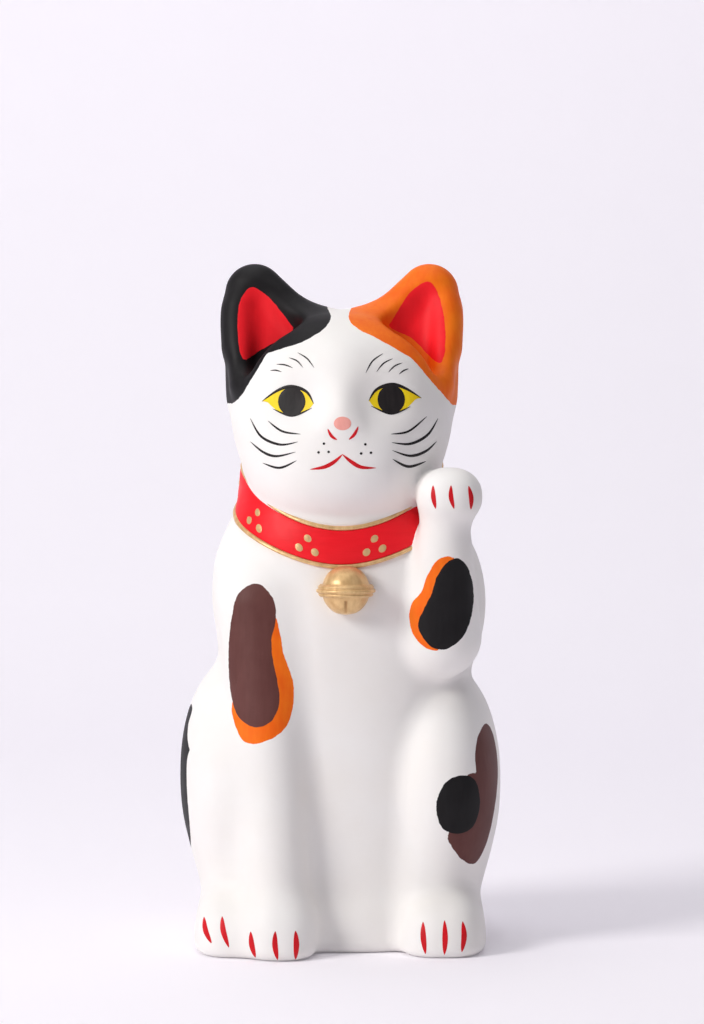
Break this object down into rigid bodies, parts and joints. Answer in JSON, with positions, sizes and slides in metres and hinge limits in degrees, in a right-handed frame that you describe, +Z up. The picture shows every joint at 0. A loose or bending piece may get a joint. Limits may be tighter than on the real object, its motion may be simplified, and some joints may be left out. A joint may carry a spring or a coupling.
{
  "type": "beckoning cat figurine",
  "caption": "Seated hollow clay cat with a raised foreleg, collar and bell, a coin slot in its back and a soft stopper in its base.",
  "frame": {"origin": "centre of the footprint, on the surface the figure stands on", "axes": "+Z up, the cat faces -Y, its raised left foreleg is on the +X side"},
  "size_m": [0.1424, 0.1316, 0.2998],
  "materials": {
    "painted_clay": "matt white paint",
    "red_paint": "matt red paint",
    "gold_paint": "satin gold paint",
    "bare_clay": "bare fired clay",
    "soft_rubber": "matt"
  },
  "bodies": {
    "figure": {"front_shell": "painted_clay", "rear_shell": "painted_clay", "raised_foreleg": "painted_clay", "collar": "red_paint", "bell": "gold_paint", "tail": "painted_clay", "base_slab": "bare_clay"},
    "stopper": {"base_stopper": "soft_rubber"}
  },
  "joints": [
    {"name": "stopper_pull", "type": "slide", "parent": "figure", "child": "stopper", "axis": [0, 0, -1], "range_m": [0, 0.02]}
  ]
}
